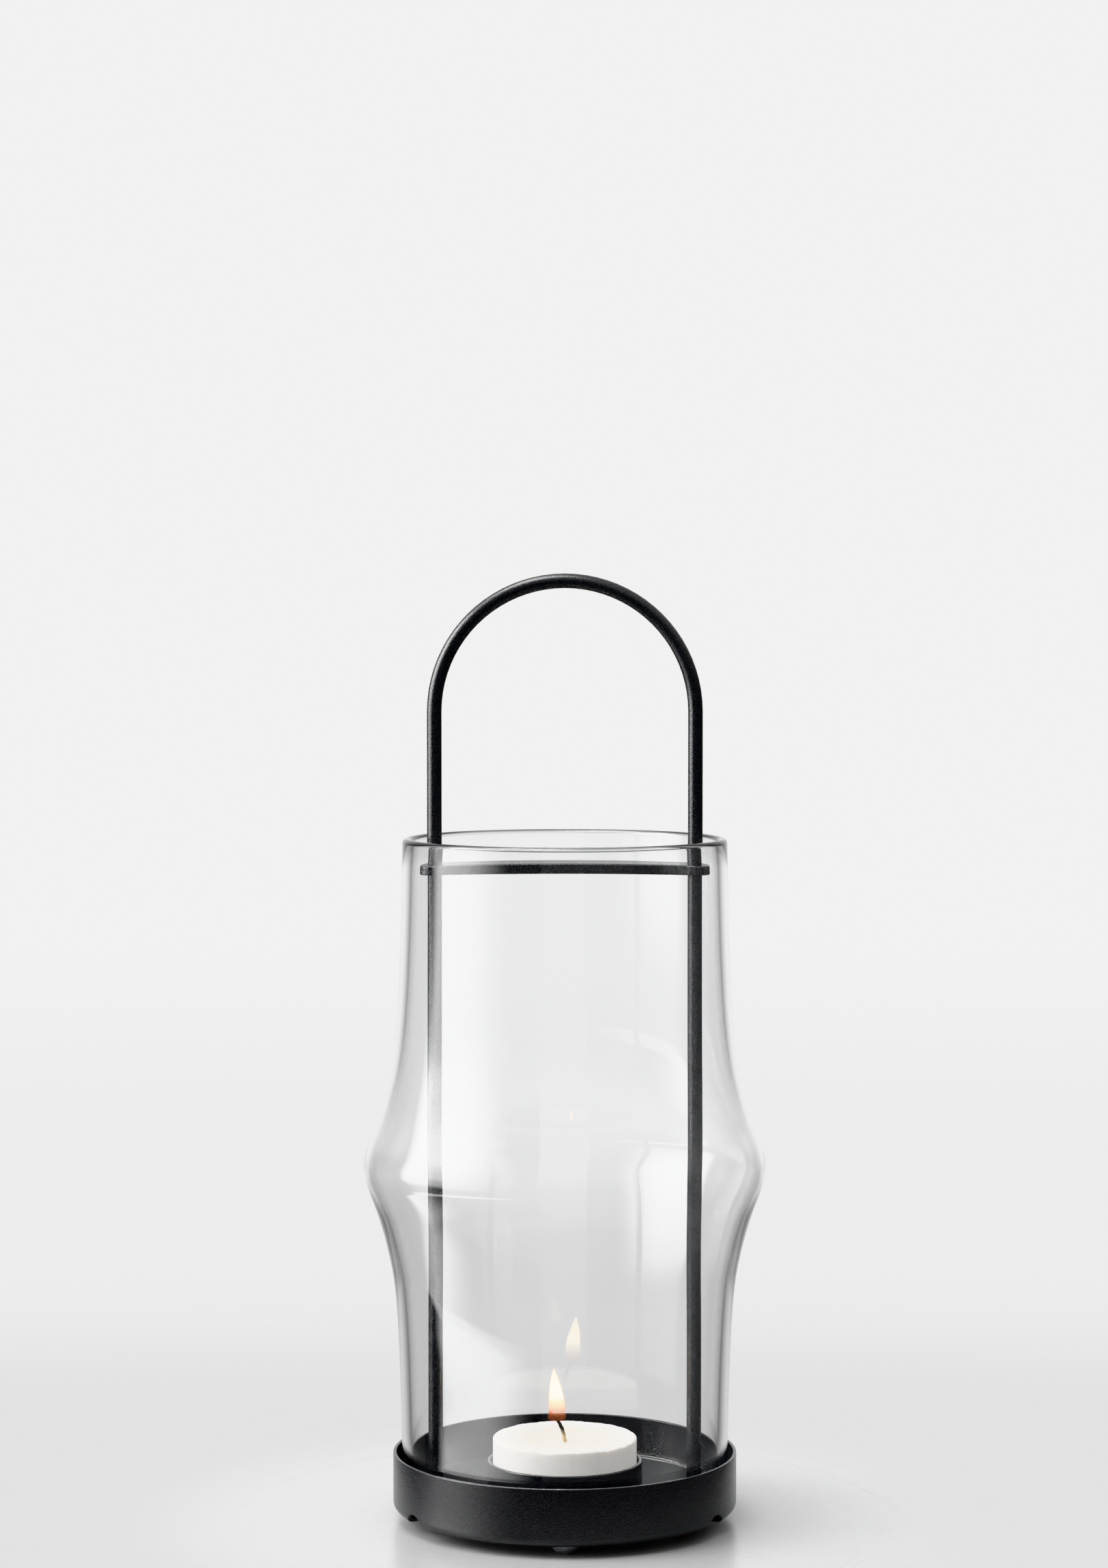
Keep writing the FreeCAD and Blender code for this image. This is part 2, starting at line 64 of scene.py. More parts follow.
class Value:
    """One socket of a tree. Arithmetic on it adds Math nodes."""

    def __init__(self, tree, socket):
        self.tree = tree
        self.socket = socket

    def math(self, operation, *others, clamp=False):
        node = self.tree.tree.nodes.new("ShaderNodeMath")
        node.operation = operation
        node.use_clamp = clamp
        for place, item in enumerate((self, *others)):
            self.tree.feed(node.inputs[place], item)
        return Value(self.tree, node.outputs[0])

    def flipped(self, operation, first):
        node = self.tree.tree.nodes.new("ShaderNodeMath")
        node.operation = operation
        self.tree.feed(node.inputs[0], first)
        self.tree.feed(node.inputs[1], self)
        return Value(self.tree, node.outputs[0])

    def __add__(self, other):
        return self.math("ADD", other)

    def __sub__(self, other):
        return self.math("SUBTRACT", other)

    def __rsub__(self, other):
        return self.flipped("SUBTRACT", other)

    def __mul__(self, other):
        return self.math("MULTIPLY", other)

    def __truediv__(self, other):
        return self.math("DIVIDE", other)

    def __pow__(self, other):
        return self.math("POWER", other)

    def __rtruediv__(self, other):
        return self.flipped("DIVIDE", other)

    __radd__ = __add__
    __rmul__ = __mul__

    def clamped(self):
        return self.math("ADD", 0.0, clamp=True)

    def between(self, low, high):
        """0 at low, 1 at high, with a soft start and end. low may be the larger."""
        share = (self - low).math("DIVIDE", high - low, clamp=True)
        return share * share * (3.0 - 2.0 * share)


class Tree:
    """A material's or world's node tree, filled one node at a time."""

    def __init__(self, owner):
        owner.use_nodes = True
        self.owner = owner
        self.tree = owner.node_tree
        self.tree.nodes.clear()

    def feed(self, socket, item):
        if isinstance(item, Value):
            self.tree.links.new(item.socket, socket)
        else:
            socket.default_value = item

    def add(self, kind, settings=None, sockets=None, out=0):
        """A node of this type: its settings first, then its sockets by name or number."""
        node = self.tree.nodes.new(kind)
        for name, setting in (settings or {}).items():
            if name == "stops":
                self.set_stops(node.color_ramp, setting)
            else:
                setattr(node, name, setting)
        for name, item in (sockets or {}).items():
            self.feed(node.inputs[name], item)
        return Value(self, node.outputs[out]) if node.outputs else node

    def set_stops(self, ramp, stops):
        while len(ramp.elements) < len(stops):
            ramp.elements.new(1.0)
        for element, (place, colour) in zip(ramp.elements, stops):
            element.position = place
            element.color = (*colour, 1.0)

    def place(self):
        return self.add("ShaderNodeTexCoord", out="Object")

    def split(self, vector):
        parts = self.add("ShaderNodeSeparateXYZ", sockets={0: vector}).socket.node
        return [Value(self, parts.outputs[i]) for i in range(3)]

    def noise(self, size, detail=2.0, roughness=0.5, vector=None, stretch=None):
        """Soft noise whose lumps are about this many metres across."""
        vector = vector or self.place()
        if stretch:
            vector = self.add("ShaderNodeMapping", sockets={"Vector": vector, "Scale": stretch})
        sockets = {"Vector": vector, "Scale": 1.0 / size}
        sockets.update({"Detail": detail, "Roughness": roughness})
        return self.add("ShaderNodeTexNoise", sockets=sockets, out="Fac")

    def mix(self, share, first, second):
        """A blend of two colours."""
        sockets = {0: share, 6: first, 7: second}
        return self.add("ShaderNodeMix", {"data_type": "RGBA"}, sockets, out=2)

    def bump(self, height, depth, strength):
        """A relief this many metres deep, which feeds a shader's Normal."""
        sockets = {"Height": height, "Distance": depth, "Strength": strength}
        return self.add("ShaderNodeBump", sockets=sockets)

    def surface(self, shader):
        kind = "ShaderNodeOutputMaterial"
        if isinstance(self.owner, bpy.types.World):
            kind = "ShaderNodeOutputWorld"
        self.add(kind, sockets={"Surface": shader})
        return self.owner


class NodeTree(Tree):
    """A Geometry Nodes tree with named inputs, which ends in a plain mesh of one finish."""

    def __init__(self, name):
        self.owner = self.tree = bpy.data.node_groups.new(name, "GeometryNodeTree")
        self.doors = self.tree.nodes.new("NodeGroupInput")

    def entry(self, name, kind):
        self.tree.interface.new_socket(name=name, in_out="INPUT", socket_type=kind)
        return Value(self, self.doors.outputs[name])

    def finished(self, geometry, finish):
        """Ends the tree and gives it back."""
        plain = self.add("GeometryNodeRealizeInstances", sockets={0: geometry})
        plain = self.add("GeometryNodeSetMaterial", sockets={"Geometry": plain, "Material": finish})
        self.tree.interface.new_socket(
            name="Mesh", in_out="OUTPUT", socket_type="NodeSocketGeometry"
        )
        self.add("NodeGroupOutput", sockets={0: plain})
        return self.tree


def colour(*rgb):
    return (*rgb, 1.0)


def material(name):
    return Tree(bpy.data.materials.new(name))


# ---------------------------------------------------------------- finishes

# Grain of the powder coat: wrinkles and the drift that bends them, specks, orange peel, clouds.
WRINKLE_SIZE = 0.50 * MM
DRIFT_SIZE = 1.3 * MM
DRIFT_REACH = 0.5 * MM
SPECK_SIZE = 0.20 * MM
PEEL_SIZE = 4.0 * MM
CLOUD_SIZE = 11 * MM
GRAIN_DEPTH = 0.075 * MM
COAT_DARK = (0.0042, 0.0044, 0.0050)
# A paler tint painted on the grain's crests: a painted glint.
COAT_GLINT_TINT = (0.026, 0.0268, 0.0295)


def black_powder_coat(name, gloss, ior, painted_sheen=1.0):
    """Black powder coat with a fine wrinkled grain: its crests carry a painted glint, a paler tint
    in the base colour, and level faces are smoother than upright ones. The last argument multiplies
    both tints, which paints a paler sheen over the whole coat."""
    tree = material(name)
    place = tree.place()
    sockets = {"Vector": place, "Scale": 1.0 / DRIFT_SIZE}
    drift = tree.add("ShaderNodeTexNoise", sockets=sockets, out=1)
    sockets = {0: drift, "Scale": DRIFT_REACH}
    bent = tree.add("ShaderNodeVectorMath", {"operation": "SCALE"}, sockets)
    bent = tree.add("ShaderNodeVectorMath", sockets={0: place, 1: bent})
    wrinkle = tree.noise(WRINKLE_SIZE, detail=1.0, vector=bent)
    ridge = 1.0 - (2.0 * wrinkle - 1.0).math("ABSOLUTE")
    speck = tree.noise(SPECK_SIZE, detail=2.0, vector=bent)
    peel = tree.noise(PEEL_SIZE, detail=2.0)
    facing = tree.split(tree.add("ShaderNodeNewGeometry", out="Normal"))[2]
    upright = 1.0 - 0.75 * facing.math("ABSOLUTE").between(0.3, 0.95)
    height = (ridge * 0.8 + speck * 0.12 + peel * 0.5) * upright
    cloud = tree.noise(CLOUD_SIZE, detail=4.0, roughness=0.6)
    roughness = gloss + 0.08 * speck + 0.06 * cloud
    # Painted glint: the grain's crests get the paler tint in the base colour, standing in for the
    # glints they catch.
    crest = (ridge * 0.55 + speck * 0.35 + cloud * 0.10).between(0.60, 0.84)
    dark, pale = (colour(*(painted_sheen * part for part in tint)) for tint in (COAT_DARK, COAT_GLINT_TINT))
    base = tree.mix(crest, dark, pale)
    normal = tree.bump(height, GRAIN_DEPTH, 0.8)
    sockets = {"Base Color": base, "Roughness": roughness, "Normal": normal, "IOR": ior}
    return tree.surface(tree.add("ShaderNodeBsdfPrincipled", sockets=sockets))


def clear_glass():
    """Clear blown glass. Light meant for what stands inside passes straight through it."""
    tree = material("clear glass")
    sockets = {"Color": colour(0.990, 0.9905, 0.9905), "Roughness": 0.0, "IOR": 1.5}
    glass = tree.add("ShaderNodeBsdfGlass", sockets=sockets)
    faint_tint = colour(0.96, 0.965, 0.965)
    open_way = tree.add("ShaderNodeBsdfTransparent", sockets={"Color": faint_tint})
    shadow = tree.add("ShaderNodeLightPath", out="Is Shadow Ray")
    both = {0: shadow, 1: glass, 2: open_way}
    return tree.surface(tree.add("ShaderNodeMixShader", sockets=both))


def candle_wax():
    """Translucent white wax, cloudy, and yellower and shinier where it melted round the wick.
    A weak glow of its own stands in for the flame's light inside it."""
    tree = material("candle wax")
    x, y, z = tree.split(tree.place())
    out = (x * x + y * y) ** 0.5
    cloud = tree.noise(6 * MM, detail=4.0, roughness=0.6)
    crumb = tree.noise(0.9 * MM, detail=3.0, roughness=0.7)
    frost = tree.noise(0.35 * MM, detail=2.0)
    melted = (1.0 - out.between(9 * MM, 17 * MM)) * z.between(wax_high.z - 4 * MM, wax_high.z)
    dull, milky = colour(0.43, 0.423, 0.414), colour(0.47, 0.462, 0.45)
    base = tree.mix(cloud.between(0.3, 0.7), dull, milky)
    base = tree.mix(melted * 0.55, base, colour(0.46, 0.42, 0.365))
    roughness = 0.42 + 0.16 * crumb - 0.14 * melted
    normal = tree.bump(crumb * 0.7 + frost * 0.3, 0.10 * MM, 0.45)
    sockets = {"Base Color": base, "Roughness": roughness, "Normal": normal, "IOR": 1.43}
    sockets["Emission Color"] = colour(1.0, 0.965, 0.93)
    sockets["Emission Strength"] = 0.265
    sockets["Subsurface Weight"] = 0.75
    sockets["Subsurface Radius"] = (1.0, 0.82, 0.66)
    sockets["Subsurface Scale"] = 3.2 * MM
    return tree.surface(tree.add("ShaderNodeBsdfPrincipled", sockets=sockets))


def burnt_wick(start, end):
    """Cotton braid: waxed and yellowish where it leaves the wax, charred above, glowing tip."""
    tree = material("burnt wick")
    z = tree.split(tree.place())[2]
    fibre = tree.noise(0.12 * MM, detail=3.0)
    char_from, char_full = start + 1.9 * MM, start + 4.6 * MM
    glow_from, glow_full = end - 1.5 * MM, end - 0.2 * MM
    burnt = (z + fibre * 0.8 * MM).between(char_from, char_full)
    waxed = tree.mix(fibre, colour(0.50, 0.36, 0.17), colour(0.72, 0.58, 0.36))
    char = tree.mix(fibre, colour(0.004, 0.003, 0.003), colour(0.025, 0.017, 0.013))
    base = tree.mix(burnt, waxed, char)
    glow = (fibre * 0.5 + 0.75) * (z - fibre * 0.5 * MM).between(glow_from, glow_full)
    ember = tree.mix(glow, colour(0.0, 0.0, 0.0), colour(1.0, 0.13, 0.015))
    sockets = {"Base Color": base, "Roughness": 0.45 + 0.45 * burnt, "Emission Color": ember}
    sockets["Normal"] = tree.bump(fibre, 0.05 * MM, 0.8)
    sockets["Emission Strength"] = 3.0
    return tree.surface(tree.add("ShaderNodeBsdfPrincipled", sockets=sockets))


# Colours up the flame, from its foot to its tip.
HEART_STOPS = [
    (0.0, (0.045, 0.010, 0.003)),
    (0.12, (0.063, 0.0145, 0.004)),
    (0.17, (0.067, 0.029, 0.0145)),
    (0.22, (0.075, 0.048, 0.030)),
    (0.30, (0.142, 0.108, 0.070)),
    (0.40, (0.150, 0.143, 0.088)),
    (0.58, (1.0, 0.90, 0.68)),
    (1.0, (1.0, 0.85, 0.58)),
]
VEIL_STOPS = [
    (0.0, (0.70, 0.16, 0.04)),
    (0.16, (0.9, 0.30, 0.10)),
    (0.3, (1.0, 0.66, 0.42)),
    (1.0, (1.0, 0.72, 0.46)),
]
HEART_STRENGTH = 24.0
VEIL_STRENGTH = 1.6


def flame_glow(name, stops, strength, body):
    """A glow whose colour and body change with the height in the flame. body is a function
    that turns the share of that height into how much of the glow is there."""
    tree = material(name)
    z = tree.split(tree.place())[2]
    rise = (z - FLAME_BASE) / (FLAME_TIP - FLAME_BASE)
    shade = tree.add("ShaderNodeValToRGB", {"stops": stops}, {0: rise})
    glow = tree.add("ShaderNodeEmission", sockets={"Color": shade, "Strength": strength})
    clear = tree.add("ShaderNodeBsdfTransparent")
    both = {0: body(rise), 1: clear, 2: glow}
    return tree.surface(tree.add("ShaderNodeMixShader", sockets=both))


def flame_heart():
    """The burning heart of the flame: brown and clear at its foot, yellow, then white."""

    def body(rise):
        return rise.between(0.04, 0.36) ** 1.5

    return flame_glow("flame heart", HEART_STOPS, HEART_STRENGTH, body)


def flame_veil():
    """The thin glowing skin round the heart: almost clear orange, redder at its foot."""

    def body(rise):
        return 0.07 + 0.10 * rise.between(0.1, 0.3)

    return flame_glow("flame veil", VEIL_STOPS, VEIL_STRENGTH, body)


def clear_silicone():
    """Soft clear silicone, a little hazy."""
    tree = material("clear silicone")
    haze = tree.noise(1.4 * MM, detail=2.0)
    sockets = {"Base Color": colour(0.80, 0.81, 0.83), "Roughness": 0.22 + 0.16 * haze}
    sockets["IOR"] = 1.41
    sockets["Transmission Weight"] = 0.72
    sockets["Normal"] = tree.bump(haze, 0.04 * MM, 0.4)
    return tree.surface(tree.add("ShaderNodeBsdfPrincipled", sockets=sockets))


def plated_steel(name, tint, roughness):
    """Bright plated sheet or turned steel, with fine drawing lines and handling marks."""
    tree = material(name)
    lines = tree.noise(0.5 * MM, detail=3.0, stretch=(1.0, 1.0, 9.0))
    marks = tree.noise(2.2 * MM, detail=4.0, roughness=0.65)
    darker = tuple(part * 0.72 for part in tint)
    base = tree.mix(marks.between(0.35, 0.7), colour(*tint), colour(*darker))
    sockets = {"Base Color": base, "Roughness": roughness + 0.18 * marks, "Metallic": 1.0}
    sockets["Normal"] = tree.bump(lines, 0.012 * MM, 0.5)
    return tree.surface(tree.add("ShaderNodeBsdfPrincipled", sockets=sockets))


# How far from the lantern's middle the studio floor starts to fade, and where it is gone.
FLOOR_SOLID = 0.058
FLOOR_GONE = 0.125


def studio_paper():
    """Pale satin floor that fades into the backdrop with distance."""
    tree = material("studio floor")
    x, y, z = tree.split(tree.place())
    out = (x * x + y * y) ** 0.5
    fibre = tree.noise(4 * MM, detail=4.0)
    base = tree.mix(fibre, colour(0.40, 0.40, 0.40), colour(0.42, 0.42, 0.42))
    sockets = {"Base Color": base, "Roughness": 0.20 + 0.04 * fibre}
    paper = tree.add("ShaderNodeBsdfPrincipled", sockets=sockets)
    clear = tree.add("ShaderNodeBsdfTransparent")
    far = out.between(FLOOR_SOLID, FLOOR_GONE)
    return tree.surface(tree.add("ShaderNodeMixShader", sockets={0: far, 1: paper, 2: clear}))


# ---------------------------------------------------------------- mesh making


def add_piece(name, mesh, finish, sharp_from):
    """An object of this mesh and finish, smooth but for edges past this many degrees."""
    mesh.materials.clear()
    mesh.materials.append(finish)
    mesh.shade_smooth()
    mesh.set_sharp_from_angle(angle=math.radians(sharp_from))
    piece = bpy.data.objects.new(name, mesh)
    scene.collection.objects.link(piece)
    return piece


def outward(mesh):
    """Merges doubled points and turns every face outwards."""
    shape = bmesh.new()
    shape.from_mesh(mesh)
    bmesh.ops.remove_doubles(shape, verts=shape.verts, dist=1e-7)
    bmesh.ops.dissolve_degenerate(shape, edges=shape.edges, dist=1e-8)
    bmesh.ops.recalc_face_normals(shape, faces=shape.faces)
    shape.to_mesh(mesh)
    shape.free()


def curve_through(name, points, closed):
    curve = bpy.data.curves.new(name, "CURVE")
    curve.dimensions = "3D"
    line = curve.splines.new("POLY")
    line.points.add(len(points) - 1)
    for point, place in zip(line.points, points):
        point.co = (*place, 1.0)
    line.use_cyclic_u = closed
    return curve


def grown(name, curve, tree, sizes, finish):
    """The plain mesh that a Geometry Nodes tree makes of a curve with these named sizes."""
    seed = bpy.data.objects.new(name + " seed", curve)
    scene.collection.objects.link(seed)
    modifier = seed.modifiers.new(name, "NODES")
    modifier.node_group = tree
    inputs = {**sizes, "Finish": finish}
    for item in tree.interface.items_tree:
        if item.in_out == "INPUT" and item.name in inputs:
            modifier[item.identifier] = inputs[item.name]
    evaluated = seed.evaluated_get(bpy.context.evaluated_depsgraph_get())
    mesh = bpy.data.meshes.new_from_object(evaluated)
    seed.modifiers.remove(modifier)
    bpy.data.objects.remove(seed)
    outward(mesh)
    return mesh


def turn(name, outline, steps, shaped):
    """A closed mesh turned about the Z axis from an outline of (radius, level) points that
    starts and ends on the axis. shaped is a function that moves each point."""
    points = []
    faces = []
    for i in range(steps):
        angle = 2 * math.pi * i / steps
        for radius, level in outline:
            place = Vector((radius * math.cos(angle), radius * math.sin(angle), level))
            points.append(shaped(place))
    count = len(outline)
    for i in range(steps):
        after = (i + 1) % steps
        for k in range(count - 1):
            here, beside = i * count + k, after * count + k
            faces.append((here, beside, beside + 1, here + 1))
    mesh = bpy.data.meshes.new(name)
    mesh.from_pydata(points, [], faces)
    outward(mesh)
    return mesh


def spline_points(poles, count):
    """Points along a clamped cubic B-spline with evenly spaced knots."""
    degree = 3
    spans = len(poles) - degree
    knots = [0.0] * degree + [i / spans for i in range(spans + 1)] + [1.0] * degree
    line = []
    for step in range(count + 1):
        at = min(step / count, 1 - 1e-9)
        span = max(i for i in range(len(poles)) if knots[i] <= at)
        work = [Vector(poles[span - degree + i]) for i in range(degree + 1)]
        for level in range(1, degree + 1):
            for i in range(degree, level - 1, -1):
                low = knots[span - degree + i]
                high = knots[span + 1 + i - level]
                share = (at - low) / (high - low)
                work[i] = work[i - 1].lerp(work[i], share)
        line.append(tuple(work[degree]))
    return line


def arc_points(centre, radius, start, end, count):
    """Points along an arc, angles in degrees, both ends included."""
    line = []
    for step in range(count + 1):
        angle = math.radians(start + (end - start) * step / count)
        line.append((centre[0] + radius * math.cos(angle), centre[1] + radius * math.sin(angle)))
    return line


# ---------------------------------------------------------------- glass shade

SHADE_WALL = 2.55 * MM
BULGE_WALL = 1.5 * MM
SHADE_TAPER = 0.17 * MM
FOOT_ROUND = 0.7 * MM
BULGE_HEIGHT = 85.7 * MM
SHADE_SIDE_GAP = 1.5 * MM
TRAY_WALL = 0.9 * MM
CURVE_STEPS = 120
SHADE_STEPS = 256
HUB_RADIUS = 10 * MM
# Control points of the outside: (beyond the rim radius, from the crest, share of the thinning).
SHADE_POLES = [
    (0.6, 38.1, 0.0),
    (4.12, 19.5, 0.35),
    (7.69, 9.0, 0.75),
    (11.58, 0.0, 1.0),
    (7.06, -10.3, 0.75),
    (3.26, -23.1, 0.35),
    (0.6, -39.2, 0.0),
]


def shade_outline():
    foot_radius = tray_radius - TRAY_WALL - SHADE_SIDE_GAP
    rim_radius = foot_radius - SHADE_TAPER
    crest = shade_low.z + BULGE_HEIGHT
    rim_centre = shade_high.z - SHADE_WALL / 2
    outer = [(rim_radius, rim_centre)]
    inner = [(rim_radius - SHADE_WALL, rim_centre)]
    for flare, reach, thinned in SHADE_POLES:
        radius, level = rim_radius + flare * MM, crest + reach * MM
        wall = SHADE_WALL + (BULGE_WALL - SHADE_WALL) * thinned
        outer.append((radius, level))
        inner.append((radius - wall, level))
    outer.append((foot_radius, shade_low.z))
    inner.append((foot_radius - SHADE_WALL, shade_low.z))
    low = shade_low.z + FOOT_ROUND
    lowest = low + 0.2 * MM
    outside = [point for point in spline_points(outer, CURVE_STEPS) if point[1] > lowest]
    inside = [point for point in spline_points(inner, CURVE_STEPS) if point[1] > lowest]
    rim = arc_points((rim_radius - SHADE_WALL / 2, rim_centre), SHADE_WALL / 2, 180, 0, 16)
    foot = arc_points((foot_radius - FOOT_ROUND, low), FOOT_ROUND, 0, -90, 6)
    inner_turn = foot_radius - SHADE_WALL + FOOT_ROUND
    foot += arc_points((inner_turn, low), FOOT_ROUND, -90, -180, 6)
    return rim[1:-1] + outside + foot + inside[::-1]


def shade_tree():
    """Turns a closed profile curve about the Z axis. The slight unevenness of blown glass only
    draws it inwards, so that it stays inside the size of the CAD piece."""
    tree = NodeTree("turned glass")
    profile = tree.entry("Profile", "NodeSocketGeometry")
    steps = tree.entry("Steps", "NodeSocketInt")
    hub = tree.entry("Hub radius", "NodeSocketFloat")
    swell = tree.entry("Swell", "NodeSocketFloat")
    lump = tree.entry("Lump size", "NodeSocketFloat")
    finish = tree.entry("Finish", "NodeSocketMaterial")
    sockets = {"Resolution": steps, "Radius": hub}
    circle = tree.add("GeometryNodeCurvePrimitiveCircle", sockets=sockets)
    sockets = {"Curve": circle, "Profile Curve": profile}
    body = tree.add("GeometryNodeCurveToMesh", sockets=sockets)
    place = tree.add("GeometryNodeInputPosition")
    away = tree.add("ShaderNodeVectorMath", {"operation": "MULTIPLY"}, {0: place, 1: (1, 1, 0)})
    away = tree.add("ShaderNodeVectorMath", {"operation": "NORMALIZE"}, {0: away})
    sockets = {"Vector": place, "Scale": 1.0 / lump, "Detail": 1.0}
    uneven = tree.add("ShaderNodeTexNoise", sockets=sockets)
    amount = (uneven - 1.0) * swell
    move = tree.add("ShaderNodeVectorMath", {"operation": "SCALE"}, {0: away, "Scale": amount})
    body = tree.add("GeometryNodeSetPosition", sockets={"Geometry": body, "Offset": move})
    return tree.finished(body, finish)


def make_glass_shade(finish):
    profile = [(radius - HUB_RADIUS, -level, 0.0) for radius, level in shade_outline()]
    curve = curve_through("shade profile", profile, True)
    sizes = {"Steps": SHADE_STEPS, "Hub radius": HUB_RADIUS}
    sizes.update({"Swell": 0.06 * MM, "Lump size": 45 * MM})
    mesh = grown("shade", curve, shade_tree(), sizes, finish)
    piece = add_piece("shade", mesh, finish, 60)
    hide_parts("glass_shade")
    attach(piece, "shade")


# ---------------------------------------------------------------- tealight

WAX_EDGE = 0.55 * MM
WAX_STEPS = 360
HOLLOW_RADIUS = 15.9 * MM
HOLLOW_STEPS = 48
SIDE_STEPS = 14
# The melted wax climbs the wick a little: its depth there, and the height and reach of the climb.
DEPTH_AT_WICK = 1.4 * MM
CLIMB_HEIGHT = 0.5 * MM
CLIMB_REACH = 1.3 * MM


def make_wax(finish):
    """The wax disc: crisp moulded side, crumbly upper edge, and a shallow melted hollow."""
    top, base, radius = wax_high.z, wax_low.z, candle_radius
    edge, hollow = WAX_EDGE, HOLLOW_RADIUS
    outline = [(0.0, top - DEPTH_AT_WICK)]
    for step in range(1, HOLLOW_STEPS + 1):
        share = step / HOLLOW_STEPS
        drop = MELT_DEPTH * (0.5 + 0.5 * math.cos(math.pi * share)) ** 0.8
        climb = CLIMB_HEIGHT * math.exp(-((hollow * share / CLIMB_REACH) ** 2))
        outline.append((hollow * share, top - drop + climb))
    outline.append((hollow + 0.9 * MM, top))
    outline += arc_points((radius - edge, top - edge), edge, 90, 0, 6)
    fall = base + edge - top + edge
    for step in range(1, SIDE_STEPS):
        outline.append((radius, top - edge + fall * step / SIDE_STEPS))
    outline += arc_points((radius - edge, base + edge), edge, 0, -90, 4)
    outline += [(radius * 0.5, base), (0.0, base)]

    def crumble(place):
        """Wears the upper edge down unevenly and lets the hollow's surface swell a little."""
        out = place.xy.length
        rim = max(0.0, 1 - abs(out - radius + 0.4 * MM) / (1.6 * MM))
        rim *= max(0.0, 1 - abs(place.z - top) / (1.2 * MM))
        soft = noise.noise(place * 160.0)
        fine = noise.noise(place * 900.0)
        drop = rim * (max(0.0, fine - 0.05) * 0.55 + max(0.0, soft) * 0.3) * MM
        swell = noise.noise(place * 120.0 + Vector((3.1, 0.4, 0.0))) * 0.12 * MM
        inside = 1.0 if out < hollow and place.z > base + 2 * MM else 0.0
        lifted = place.z - drop + swell * inside * min(1.0, out / (3 * MM))
        shrink = 1 - drop * 0.4 / max(out, MM)
        return Vector((place.x * shrink, place.y * shrink, lifted))

    mesh = turn("wax", outline, WAX_STEPS, crumble)
    piece = add_piece("wax", mesh, finish, 50)
    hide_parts("tealight_wax")
    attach(piece, "tealight")


CURL_RADIUS = 10.7 * MM
CURL_ANGLE = 51.0
STRAIGHT_STEPS = 40
CURL_STEPS = 60


def wick_line():
    """The middle of the wick: straight up to the melted wax, then curled towards -X."""
    start = wax_high.z - MELT_DEPTH
    base = wick_low.z
    line = []
    for i in range(STRAIGHT_STEPS):
        line.append(Vector((0, 0, base + (start - base) * i / STRAIGHT_STEPS)))
    for i in range(CURL_STEPS + 1):
        angle = math.radians(CURL_ANGLE) * i / CURL_STEPS
        across = -CURL_RADIUS * (1 - math.cos(angle))
        line.append(Vector((across, 0, start + CURL_RADIUS * math.sin(angle))))
    return line


FRAYS_PER_METRE = 2600.0


def braid_tree():
    """Twists strands of cotton round each other along a curve. They thin towards the burnt end
    and finish in a small knob."""
    tree = NodeTree("twisted strands")
    line = tree.entry("Line", "NodeSocketGeometry")
    strands = tree.entry("Strands", "NodeSocketInt")
    turns = tree.entry("Turns", "NodeSocketFloat")
    girth = tree.entry("Strand radius", "NodeSocketFloat")
    spread = tree.entry("Spread", "NodeSocketFloat")
    burnt_share = tree.entry("Burnt from", "NodeSocketFloat")
    finish = tree.entry("Finish", "NodeSocketMaterial")
    sockets = {0: line, "Amount": strands}
    copies = tree.add("GeometryNodeDuplicateElements", {"domain": "SPLINE"}, sockets)
    which = Value(tree, copies.socket.node.outputs["Duplicate Index"])
    along = tree.add("GeometryNodeSplineParameter", out="Factor")
    burnt = along.between(burnt_share, 1.0)
    angle = 2 * math.pi * (which / strands + along * turns)
    side = tree.add("GeometryNodeInputNormal", out="Normal")
    ahead = tree.add("GeometryNodeInputTangent")
    across = tree.add("ShaderNodeVectorMath", {"operation": "CROSS_PRODUCT"}, {0: side, 1: ahead})
    reach = spread * (1.0 - 0.45 * burnt)
    first = {0: side, "Scale": reach * angle.math("COSINE")}
    second = {0: across, "Scale": reach * angle.math("SINE")}
    first = tree.add("ShaderNodeVectorMath", {"operation": "SCALE"}, first)
    second = tree.add("ShaderNodeVectorMath", {"operation": "SCALE"}, second)
    offset = tree.add("ShaderNodeVectorMath", sockets={0: first, 1: second})
    twisted = tree.add("GeometryNodeSetPosition", sockets={"Geometry": copies, "Offset": offset})
    place = tree.add("GeometryNodeInputPosition")
    sockets = {"Vector": place, "Scale": FRAYS_PER_METRE, "Detail": 2.0}
    fray = tree.add("ShaderNodeTexNoise", sockets=sockets)
    knob = 1.0 + 0.7 * along.between(0.945, 0.985)
    thick = girth * (1.0 - 0.45 * burnt) * knob * (0.72 + 0.56 * fray)
    ring = tree.add("GeometryNodeCurvePrimitiveCircle", sockets={"Resolution": 9, "Radius": 1.0})
    sockets = {"Curve": twisted, "Profile Curve": ring, "Scale": thick, "Fill Caps": True}
    return tree.finished(tree.add("GeometryNodeCurveToMesh", sockets=sockets), finish)


def make_wick(finish):
    curve = curve_through("wick line", wick_line(), False)
    sizes = {"Strands": 3, "Turns": 4.5, "Strand radius": 0.30 * MM, "Spread": 0.24 * MM}
    sizes["Burnt from"] = 0.72
    mesh = grown("wick", curve, braid_tree(), sizes, finish)
    piece = add_piece("wick_braid", mesh, finish, 70)
    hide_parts("wick")
    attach(piece, "tealight")


FLAME_STEPS = 48
# The flame stands to -X of the wick's foot, leans further with height, and sways by this much.
FLAME_OFFSET = -2.15 * MM
FLAME_LEAN = 0.55 * MM
FLAME_SWAY = 0.22 * MM


